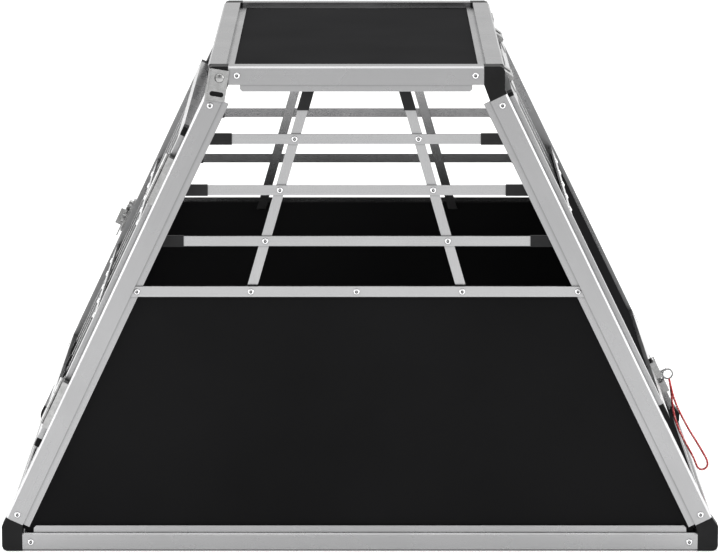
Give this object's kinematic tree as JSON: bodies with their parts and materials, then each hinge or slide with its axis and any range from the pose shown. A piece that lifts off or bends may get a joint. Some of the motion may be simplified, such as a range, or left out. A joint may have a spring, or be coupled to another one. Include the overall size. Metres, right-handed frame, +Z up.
{
  "type": "dog transport box",
  "caption": "Trapezoidal aluminium dog transport box with barred sides, a leaning front door with a turn latch, and a top-hinged rear emergency hatch with a red pull cord.",
  "frame": {"origin": "centre of the base on the ground, midway between the base's ends and sides", "axes": "+X along the length towards the rear hatch, +Y towards the left side, +Z up"},
  "size_m": [0.7411, 0.5496, 0.5001],
  "materials": {
    "frame_aluminium": "satin anodised",
    "bar_aluminium": "satin anodised",
    "rivet_aluminium": "bright",
    "zinc_steel": "bright zinc plate",
    "black_board": "smooth black laminate",
    "top_board": "smooth black laminate",
    "black_connector": "moulded nylon",
    "black_cap": "moulded nylon",
    "red_cord": "braided cord"
  },
  "bodies": {
    "frame": {"base_corners": "black_connector", "board_bars": "bar_aluminium", "bolt_keeper": "zinc_steel", "door_hinge_pins": "zinc_steel", "door_hinge_post_leaves": "zinc_steel", "floor_panel": "black_board", "frame_rivets": "rivet_aluminium", "front_base_rail": "frame_aluminium", "front_kick_bars": "bar_aluminium", "front_lower_cross": "frame_aluminium", "front_top_rail": "frame_aluminium", "front_upper_cross": "frame_aluminium", "grille_caps": "black_cap", "grille_level_bars": "bar_aluminium", "grille_uprights": "bar_aluminium", "hatch_hinge_pins": "zinc_steel", "hatch_hinge_rail_leaves": "zinc_steel", "latch_keeper": "zinc_steel", "left_base_rail": "frame_aluminium", "left_front_post": "frame_aluminium", "left_rear_post": "frame_aluminium", "left_side_board": "black_board", "left_top_rail": "frame_aluminium", "rear_base_rail": "frame_aluminium", "rear_cross": "frame_aluminium", "rear_lower_board": "black_board", "rear_top_rail": "frame_aluminium", "right_base_rail": "frame_aluminium", "right_front_post": "frame_aluminium", "right_rear_post": "frame_aluminium", "right_side_board": "black_board", "right_top_rail": "frame_aluminium", "tie_down_bolt": "zinc_steel", "tie_down_bracket": "zinc_steel", "top_corners": "black_connector", "top_panel": "top_board"},
    "door": {"door_rails": "frame_aluminium", "door_stiles": "frame_aluminium", "door_corners": "black_connector", "door_uprights": "bar_aluminium", "door_caps": "black_cap", "door_cross_bars": "bar_aluminium", "door_rivets": "rivet_aluminium", "door_hinge_leaves": "zinc_steel", "latch_case": "zinc_steel"},
    "door_latch": {"latch_cam": "zinc_steel", "latch_knob": "zinc_steel"},
    "hatch": {"hatch_rails": "frame_aluminium", "hatch_stiles": "frame_aluminium", "hatch_corners": "black_connector", "hatch_board": "black_board", "hatch_board_bar": "bar_aluminium", "hatch_uprights": "bar_aluminium", "hatch_caps": "black_cap", "hatch_rivets": "rivet_aluminium", "hatch_hinge_leaves": "zinc_steel", "bolt_housing": "zinc_steel"},
    "hatch_bolt": {"spring_bolt": "zinc_steel", "pull_ring": "zinc_steel", "pull_cord": "red_cord"}
  },
  "joints": [
    {"name": "door_swing", "type": "hinge", "parent": "frame", "child": "door", "pos_m": [-0.2764, -0.25015, 0.23379], "axis": [0.4274, 0, 0.9041], "range_deg": [0, 170]},
    {"name": "latch_turn", "type": "hinge", "parent": "door", "child": "door_latch", "pos_m": [-0.2665, 0.2396, 0.25566], "axis": [-0.9041, 0, 0.4274], "range_deg": [-90, 0]},
    {"name": "hatch_swing", "type": "hinge", "parent": "frame", "child": "hatch", "pos_m": [0.15485, 0, 0.47469], "axis": [0, -1, 0], "range_deg": [0, 110]},
    {"name": "bolt_slide", "type": "slide", "parent": "hatch", "child": "hatch_bolt", "axis": [0.4368, 0, -0.8996], "range_m": [0, 0.006]}
  ]
}
